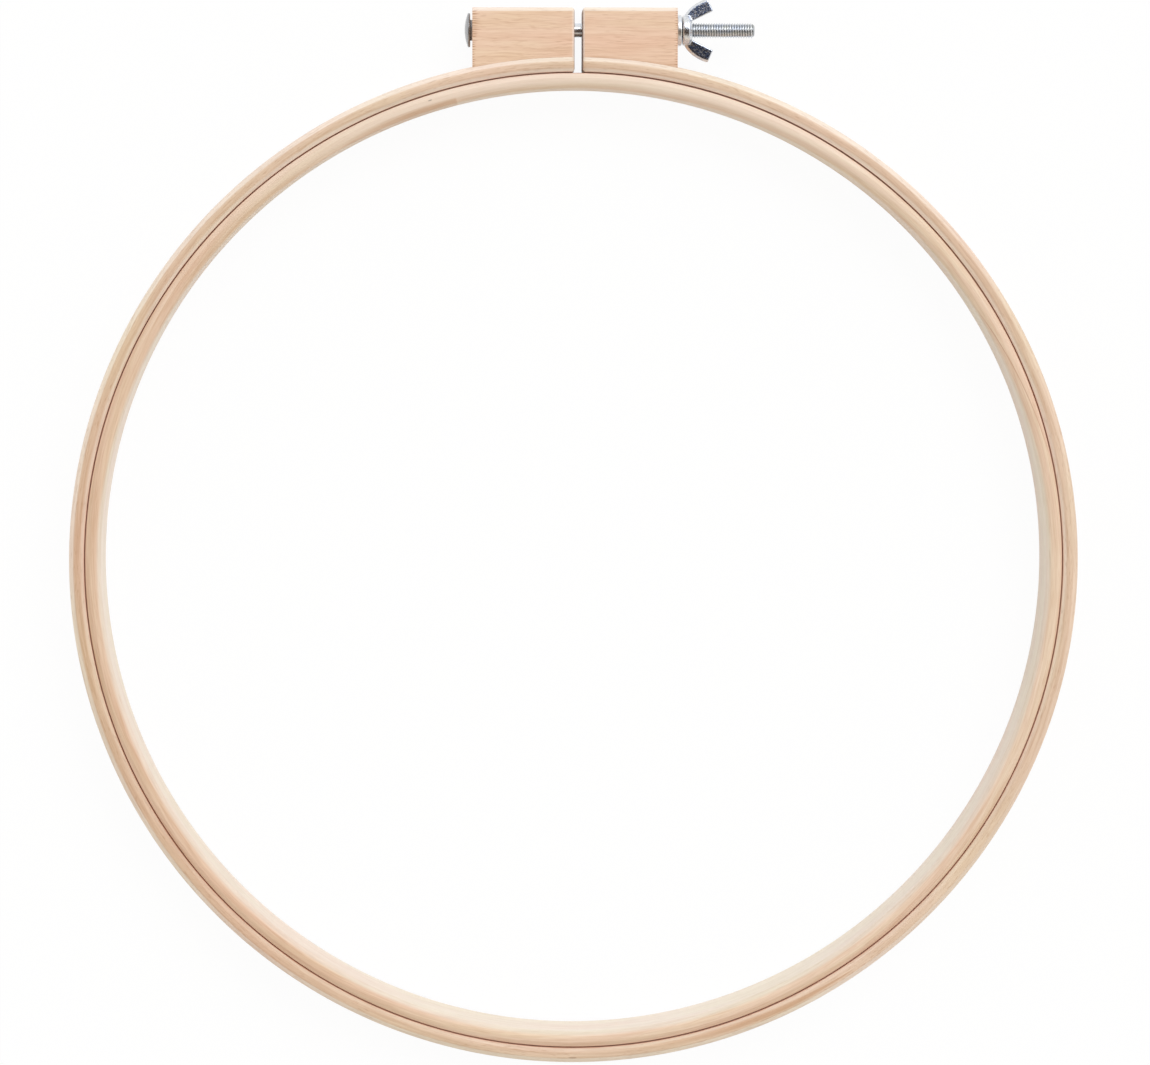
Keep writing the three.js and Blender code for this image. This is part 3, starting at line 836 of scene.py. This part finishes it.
def drift(w, grain, strongest):
    """Slow change of tone: browner low on the side away from the wing nut, with patches."""
    x, y, _ = w.parts(w.place())
    patch = w.noise(grain, (7, 20, 20), detail=1)
    side = w.times(w.band(x, 30 * MM, -150 * MM), w.band(y, 150 * MM, 60 * MM))
    both = w.plus(side, w.times(w.minus(patch, 0.45), 1.4))
    return w.times(w.band(both, 0.0, 1.2), strongest)


def inner_ring_wood(sizes, finish):
    """Bent beech with the glued scarf: the pattern starts anew at the slanting joint."""
    material, w, shader = new_material("inner_ring_beech")
    grain = w.attribute("grain", "Vector")
    s, r, z = w.parts(grain)
    around = 2 * math.pi * (sizes.inner_ring_outside - sizes.inner_ring_wall / 2)
    lean = SCARF_LENGTH / sizes.inner_ring_wall
    past = w.minus(s, w.times(r, lean))
    wrapped = w.math("FLOORED_MODULO", past, around)
    strip = w.joined(wrapped, r, z)
    _, y, _ = w.parts(w.place())
    # Painted light: the pale inside reaches further onto the slope low on the hoop, where light
    # falls, and less far near the clamp, where the slope is in shade
    lit_reach = w.plus(r, w.band(y, 0.0, 140 * MM, -0.8 * MM, 0.6 * MM))
    inside = w.band(lit_reach, -1.9 * MM, -2.95 * MM)
    shades = (finish.inner_light, finish.inner_mid, finish.inner_dark)
    wood = beech(w, strip, shades, inside, finish.ring_inside_and_lit_slope, streaks=0.9, flecks=0.3,
                 fleck_length=4 * MM, contrast=0.55)
    # Painted light: the inner ring's face paler near the clamp, where the light falls
    top_light = w.times(w.band(y, 110 * MM, 170 * MM, 0.0, 0.55),
                    w.band(r, -2.4 * MM, -0.9 * MM, 0.2, 1.0))
    browner = w.times(drift(w, strip, 0.75), w.band(inside, 0.0, 1.0, 1.0, 0.2))
    colour = w.mix(top_light, tanned(w, wood["Color"], browner), finish.ring_top_light)
    patch = w.minus(around * PATCH, s)
    patch = w.times(w.band(patch, 0.0, 0.5 * MM), w.band(patch, 50 * MM, 20 * MM))
    patch = w.times(patch, w.band(r, -0.6 * MM, -1.5 * MM))
    colour = tanned(w, colour, patch)
    to_joint = w.math("MINIMUM", wrapped, w.minus(around, wrapped))
    glue = w.band(to_joint, 0.8 * MM, 3.2 * MM, 0.55, 0.0)
    glue = w.times(glue, w.band(w.math("ABSOLUTE", r), 2.4 * MM, 1.6 * MM, 0.15, 1.0))
    colour = w.mix(glue, colour, finish.glue_line)
    dent = w.placed("worked_mark", {
        "Grain": grain, "Along": around * DENT, "Across": 0.8 * MM, "Length": 1.9 * MM,
        "Width": 0.6 * MM})
    colour = w.mix(w.times(dent["Mask"], 0.7), colour, shade(146, 134, 122))
    # Painted shade in the seam
    colour = w.mix(seam_shade_mask(w, sizes, r, z), colour, finish.seam_shade_tone)
    height = w.minus(wood["Height"], w.times(glue, 2.0))
    finish_wood(w, shader, colour, wood["Roughness"], height)
    return material


def outer_ring_wood(sizes, finish):
    """Bent beech with the tan streak of its lap, which tapers to a point."""
    material, w, shader = new_material("outer_ring_beech")
    grain = w.attribute("grain", "Vector")
    s, r, z = w.parts(grain)
    strip = w.shifted(grain, (3.1, 0.7, 0.2))
    x, y, _ = w.parts(w.place())
    pale_mask = w.times(w.band(r, 0.9 * MM, 1.4 * MM), w.band(x, 120 * MM, 180 * MM, 0.85, 0.15))
    # Painted light: the seam slope paler, most near the clamp, where it faces away from the light,
    # standing in for light on it
    slope = w.times(w.band(r, -1.2 * MM, -2.0 * MM), w.band(y, -120 * MM, 160 * MM, 0.25, 0.85))
    pale_mask = w.math("MAXIMUM", pale_mask, slope)
    shades = (finish.outer_light, finish.outer_mid, finish.outer_dark)
    wood = beech(w, strip, shades, pale_mask, finish.ring_outside_and_slope_light, streaks=0.75, flecks=0.4,
                 fleck_length=3.2 * MM)
    browner = w.times(drift(w, strip, 0.75), w.band(pale_mask, 0.0, 0.8, 1.0, 0.4))
    colour = tanned(w, wood["Color"], browner)
    behind = w.minus(LAP_TIP * (sizes.outer_radius + sizes.seam_radius) / 2, s)
    half = w.band(behind, 0.0, 28 * MM, 0.15 * MM, 1.2 * MM)
    centre = w.band(behind, 0.0, 60 * MM, -0.05 * MM, -0.9 * MM)
    off = w.math("DIVIDE", w.math("ABSOLUTE", w.minus(r, centre)), half)
    streak = w.times(w.band(off, 1.0, 0.55), w.band(behind, 0.0, 3 * MM))
    streak = w.times(streak, w.band(behind, 110 * MM, 50 * MM))
    colour = w.mix(w.times(streak, 0.6), colour, finish.lap_stain)
    scuff = w.placed("worked_mark", {
        "Grain": grain, "Along": -0.8 * MM, "Across": 0.8 * MM, "Length": 4 * MM,
        "Width": 0.8 * MM})
    colour = w.mix(w.times(scuff["Mask"], 0.55), colour, shade(150, 116, 96))
    # Painted shade in the seam
    colour = w.mix(seam_shade_mask(w, sizes, w.times(r, -1.0), z), colour, finish.seam_shade_tone)
    # Painted shade and darker end grain in the saw cut
    colour = w.mix(sawn(w, 0.85), colour, finish.end_grain_and_shade)
    finish_wood(w, shader, colour, wood["Roughness"], wood["Height"])
    return material


def block_wood(sizes, finish):
    """Sawn beech: fibres along X, short dark flecks, and saw tears at the outer ends."""
    material, w, shader = new_material("block_beech")
    place = w.place()
    x, y, z = w.parts(place)
    lifted = w.plus(y, w.about(w.noise(place, (55, 130, 130), detail=1), 1.2 * MM))
    fibres = w.joined(w.times(x, 1.5), w.times(lifted, 1.5), z)
    block_top = LEFT_BOX[1].y
    # Paler sanded edges at the top and at the saw cut; the top edge is paler also as painted
    # light, where it faces the light
    crest = w.band(y, block_top - 1.6 * MM, block_top - 1.4 * MM)
    to_cut = w.math("ABSOLUTE", w.minus(x, CUT_MIDDLE))
    edge = w.math("MAXIMUM", crest, w.band(to_cut, 2.5 * MM, 2.2 * MM))
    shades = (finish.block_light, finish.block_mid, finish.block_dark)
    wood = beech(w, fibres, shades, w.times(edge, 0.9), finish.block_edge_sanded_and_lit, streaks=0.8,
                 flecks=0.45, fleck_length=7 * MM)
    to_end = w.minus(-LEFT_BOX[0].x, w.math("ABSOLUTE", x))
    bent = w.noise(place, (90, 420, 160), detail=1)
    teeth = w.plus(w.times(y, 1 / SAW_PITCH), w.times(bent, 2.2))
    teeth = w.math("PINGPONG", teeth, 0.5)
    lengths = w.noise(place, (0, 900, 500), detail=1)
    upper = w.times(w.band(x, 0.0, -1 * MM), w.band(y, BOLT_Y - 6.1 * MM, BOLT_Y - 2.1 * MM))
    reach = w.band(lengths, 0.35, 0.65, 0.7 * MM, 1.5 * MM)
    reach = w.times(reach, w.plus(w.times(upper, 1.2), 1.0))
    tear = w.times(w.band(teeth, 0.27, 0.42, 0.0, 0.75),
                   w.band(w.math("DIVIDE", to_end, reach), 1.2, 0.4))
    faces = w.times(w.band(to_end, 0.02 * MM, 0.1 * MM),
                    w.band(y, block_top - 0.3 * MM, block_top - 0.7 * MM))
    tear = w.times(tear, faces)
    colour = w.mix(tear, wood["Color"], shade(166, 112, 76))
    # Painted shade and darker end grain in the saw cut
    colour = w.mix(sawn(w, 0.85), colour, finish.end_grain_and_shade)
    finish_wood(w, shader, colour, wood["Roughness"], w.minus(wood["Height"], w.times(tear, 1.5)))
    return material


def zinc(finish, name, mottle, gloss, relief, marks=None):
    """Zinc-plated steel with its own amount of mottling and gloss.

    marks takes the Wiring, the place and the plating's colour, and gives back the colour
    with the piece's painted reflection, painted shade and darker grey on it.
    """
    material, w, shader = new_material(name)
    place = w.place()
    plating = w.placed("zinc_plating", {
        "Place": place, "Bright": finish.zinc_bright, "Dull": finish.zinc_dull,
        "Mottle": mottle, "Gloss": gloss})
    colour = marks(w, place, plating["Color"]) if marks else plating["Color"]
    feed_shader(w, shader, colour, plating["Roughness"], plating["Height"], strength=relief,
                distance=0.05 * MM)
    shader.inputs["Metallic"].default_value = 1.0
    return material


def wing_painted_reflection(finish):
    """Painted reflection on the nut's flat faces: darker blue-grey than its bevels, like the dark
    opening overhead that they face, with small bright crystals.
    """
    def paint(w, place, colour):
        flat = w.attribute("flat", "Fac")
        grains = w.noise(place, (1500, 1500, 1500), detail=1, roughness=0.5)
        # cast is the painted dark reflection on the flat faces
        cast = w.times(flat, w.band(grains, 0.47, 0.6, 1.0, 0.4))
        return w.mix(cast, colour, finish.zinc_painted_reflection)
    return paint


def bolt_head_and_shade(sizes, finish):
    """The bolt's head in a darker grey, painted shade on its neck under the head, and painted
    shade in the roots of its thread.
    """
    def paint(w, place, colour):
        x, y, z = w.parts(place)
        up, out = w.minus(y, BOLT_Y), w.minus(z, BOLT_Z)
        r = w.math("SQRT", w.plus(w.times(up, up), w.times(out, out)))
        crest = sizes.thread_radius
        thread_start = BOLT_BOX[1].x - THREAD_LENGTH
        # Painted shade in the roots of the thread
        root = w.times(w.band(r, crest - 0.2 * MM, crest - 0.5 * MM, 0.0, 0.6),
                       w.band(x, thread_start, thread_start + 1 * MM))
        colour = w.mix(root, colour, finish.thread_root_shade)
        # Painted shade on the neck under the head, against the block
        neck = w.band(x, LEFT_BOX[0].x + 4 * MM, LEFT_BOX[0].x + 3 * MM, 0.0, 0.8)
        colour = w.mix(neck, colour, finish.neck_shade)
        # The head is darker grey all over
        head = w.band(x, HEAD_SEAT + 0.02 * MM, HEAD_SEAT - 0.02 * MM)
        return w.mix(head, colour, finish.zinc_head)
    return paint


# Studio

def studio_world():
    """White for the camera, and a soft tent for all other rays.

    The tent is bright all round, a little warmer on the side away from the clamp. Overhead
    it has a round opening in a warm dark grey, where the photographer stands, which gives
    the flat metal its dark faces.
    """
    world = bpy.data.worlds.new("tent")
    w = cleared(world)
    heading = w.add("ShaderNodeTexCoord").outputs["Generated"]
    _, y, _ = w.parts(heading)
    tent = w.mix(w.band(y, -0.8, 0.5), shade(238, 229, 214), shade(255, 255, 255))
    overhead = (0.0, -0.156, 0.988)
    cosine = w.add("ShaderNodeVectorMath", {0: heading, 1: overhead},
                   operation="DOT_PRODUCT").outputs["Value"]
    opening = w.band(cosine, 0.82, 0.89)
    tent = w.mix(opening, tent, shade(86, 70, 58))
    camera = w.add("ShaderNodeLightPath").outputs["Is Camera Ray"]
    colour = w.mix(camera, tent, (1.0, 1.0, 1.0))
    background = w.add("ShaderNodeBackground", {"Color": colour, "Strength": 1.0})
    output = w.add("ShaderNodeOutputWorld")
    w.link(background.outputs[0], output.inputs[0])
    bpy.context.scene.world = world


def paper_floor(finish):
    """A white sheet under the hoop that keeps a faint shadow.

    To the camera and in reflections it glows by itself for the most part, and the rest is
    a matt white that the hoop shades.
    """
    material = bpy.data.materials.new("paper")
    w = cleared(material)
    rays = w.add("ShaderNodeLightPath").outputs
    seen = w.math("MAXIMUM", rays["Is Camera Ray"], rays["Is Glossy Ray"])
    seen = w.math("MAXIMUM", seen, rays["Is Transmission Ray"])
    matt = w.add("ShaderNodeBsdfDiffuse", {"Color": finish.floor}).outputs[0]
    glow = w.add("ShaderNodeEmission", {"Color": (1.0, 1.0, 1.0), "Strength": 1.0}).outputs[0]
    glowing_share = 0.95
    share = w.times(seen, glowing_share)
    both = w.add("ShaderNodeMixShader", {0: share, 1: matt, 2: glow}).outputs[0]
    output = w.add("ShaderNodeOutputMaterial")
    w.link(both, output.inputs[0])
    half, level = 6.0, -0.2 * MM
    mesh = bpy.data.meshes.new("paper_floor")
    corners = [(-half, -half, level), (half, -half, level), (half, half, level),
               (-half, half, level)]
    mesh.from_pydata(corners, [], [(0, 1, 2, 3)])
    mesh.materials.append(material)
    floor = new_object("paper_floor", mesh)


def studio_lamp():
    """One large soft lamp above the hoop, beyond the clamp and on the wing nut's side."""
    lamp = bpy.data.lights.new("window", "SUN")
    lamp.energy = 1.25
    lamp.angle = math.radians(42)
    lamp.color = (0.98, 0.99, 1.0)
    holder = new_object("window", lamp)
    towards = Vector((0.36, 0.54, 0.76)).normalized()
    holder.rotation_mode = "QUATERNION"
    holder.rotation_quaternion = towards.to_track_quat("Z", "Y")
    holder.location = towards * 2


def studio_camera():
    """The photograph's view: almost straight down, from a little towards the clamp."""
    place = Vector((-0.030, 0.1086, 1.480))
    aim = Vector((0.00004, 0.00113, 0.024))
    roll = 0.0006
    forward = (aim - place).normalized()
    right = forward.cross(Vector((0, 1, 0))).normalized()
    up = right.cross(forward)
    turned_right = right * math.cos(roll) + up * math.sin(roll)
    turned_up = up * math.cos(roll) - right * math.sin(roll)
    data = bpy.data.cameras.new("camera")
    data.sensor_width = 36.0
    data.sensor_fit = "HORIZONTAL"
    data.lens = 117.914
    data.clip_start, data.clip_end = 0.05, 50.0
    axes = Matrix((turned_right, turned_up, -forward)).transposed().to_4x4()
    axes.translation = place
    camera = new_object("camera", data)
    camera.matrix_world = axes
    bpy.context.scene.camera = camera


# Operators

def hoop_settings(context):
    """The hoop's sizes and colours, once the node groups that its materials share are built."""
    if "beech_grain" not in bpy.data.node_groups:
        build_beech_grain()
        build_worked_mark()
        build_zinc_plating()
    return context.scene.hoop_sizes, context.scene.hoop_finish


class HOOP_OT_inner_ring(bpy.types.Operator):
    """Builds the inner ring"""
    bl_idname = "hoop.inner_ring"
    bl_label = "Inner Ring"

    def execute(self, context):
        sizes, finish = hoop_settings(context)
        ring = inner_ring_piece(sizes, inner_ring_wood(sizes, finish))
        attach(ring, "inner_ring")
        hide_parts("inner_ring")
        return {"FINISHED"}


class HOOP_OT_outer_ring(bpy.types.Operator):
    """Builds the outer ring in two halves"""
    bl_idname = "hoop.outer_ring"
    bl_label = "Outer Ring"

    def execute(self, context):
        sizes, finish = hoop_settings(context)
        wood = outer_ring_wood(sizes, finish)
        left = outer_ring_half(sizes, wood, "outer_ring_left", -1, LEFT_BOX[1].x)
        right = outer_ring_half(sizes, wood, "outer_ring_right", 1, RIGHT_BOX[0].x)
        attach(left, "outer_frame")
        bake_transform(right)
        for half in (left, right):
            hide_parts("outer_ring")
        return {"FINISHED"}


class HOOP_OT_clamp_blocks(bpy.types.Operator):
    """Builds the two clamp blocks"""
    bl_idname = "hoop.clamp_blocks"
    bl_label = "Clamp Blocks"

    def execute(self, context):
        sizes, finish = hoop_settings(context)
        wood = block_wood(sizes, finish)
        left = clamp_block(sizes, wood, "left_block_beech", LEFT_BOX[0].x, LEFT_BOX[1].x,
                           LEFT_BOX, SEAT_WIDTH)
        right = clamp_block(sizes, wood, "right_block_beech", RIGHT_BOX[1].x, RIGHT_BOX[0].x,
                            RIGHT_BOX, 0)
        for block, body, node in ((left, "outer_frame", "left_block"),
                                  (right, "clamp_end", "right_block")):
            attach(block, body)
            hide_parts(node)
        return {"FINISHED"}


class HOOP_OT_carriage_bolt(bpy.types.Operator):
    """Builds the carriage bolt with its thread"""
    bl_idname = "hoop.carriage_bolt"
    bl_label = "Carriage Bolt"

    def execute(self, context):
        sizes, finish = hoop_settings(context)
        steel = zinc(finish, "bolt_zinc", mottle=0.3, gloss=0.24, relief=0.25,
                     marks=bolt_head_and_shade(sizes, finish))
        bolt = carriage_bolt_piece(sizes, steel)
        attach(bolt, "outer_frame")
        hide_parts("carriage_bolt")
        return {"FINISHED"}


class HOOP_OT_washer(bpy.types.Operator):
    """Builds the washer"""
    bl_idname = "hoop.washer"
    bl_label = "Washer"

    def execute(self, context):
        sizes, finish = hoop_settings(context)
        steel = zinc(finish, "washer_zinc", mottle=0.3, gloss=0.28, relief=0.2)
        washer = washer_piece(sizes, steel)
        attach(washer, "washer")
        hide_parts("washer")
        return {"FINISHED"}


class HOOP_OT_wing_nut(bpy.types.Operator):
    """Builds the wing nut"""
    bl_idname = "hoop.wing_nut"
    bl_label = "Wing Nut"

    def execute(self, context):
        sizes, finish = hoop_settings(context)
        steel = zinc(finish, "wing_nut_zinc", mottle=0.5, gloss=0.2, relief=1.0,
                     marks=wing_painted_reflection(finish))
        nut = wing_nut_piece(sizes, steel)
        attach(nut, "wing_nut")
        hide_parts("wing_nut")
        return {"FINISHED"}


class HOOP_OT_studio(bpy.types.Operator):
    """Builds the floor, the tent, the lamp and the camera"""
    bl_idname = "hoop.studio"
    bl_label = "Studio"

    def execute(self, context):
        paper_floor(context.scene.hoop_finish)
        studio_world()
        studio_lamp()
        studio_camera()
        context.scene.view_settings.view_transform = "Standard"
        return {"FINISHED"}


OPERATORS = (HOOP_OT_inner_ring, HOOP_OT_outer_ring, HOOP_OT_clamp_blocks, HOOP_OT_carriage_bolt,
             HOOP_OT_washer, HOOP_OT_wing_nut, HOOP_OT_studio)


class HOOP_PT_pieces(bpy.types.Panel):
    """Lists the hoop's pieces, its sizes and its colours"""
    bl_label = "Embroidery Hoop"
    bl_idname = "HOOP_PT_pieces"
    bl_space_type = "VIEW_3D"
    bl_region_type = "UI"
    bl_category = "Hoop"

    def draw(self, context):
        for operator in OPERATORS:
            self.layout.operator(operator.bl_idname)
        for values in (context.scene.hoop_sizes, context.scene.hoop_finish):
            box = self.layout.box()
            for name in values.__annotations__:
                box.prop(values, name)


CLASSES = (HoopSizes, HoopFinish, *OPERATORS, HOOP_PT_pieces)


def register():
    for cls in CLASSES:
        bpy.utils.register_class(cls)
    bpy.types.Scene.hoop_sizes = PointerProperty(type=HoopSizes)
    bpy.types.Scene.hoop_finish = PointerProperty(type=HoopFinish)


def unregister():
    del bpy.types.Scene.hoop_finish
    del bpy.types.Scene.hoop_sizes
    for cls in reversed(CLASSES):
        bpy.utils.unregister_class(cls)


def main():
    register()
    bpy.ops.hoop.inner_ring()
    bpy.ops.hoop.outer_ring()
    bpy.ops.hoop.clamp_blocks()
    bpy.ops.hoop.carriage_bolt()
    bpy.ops.hoop.washer()
    bpy.ops.hoop.wing_nut()
    bpy.ops.hoop.studio()


if __name__ == "__main__":
    main()
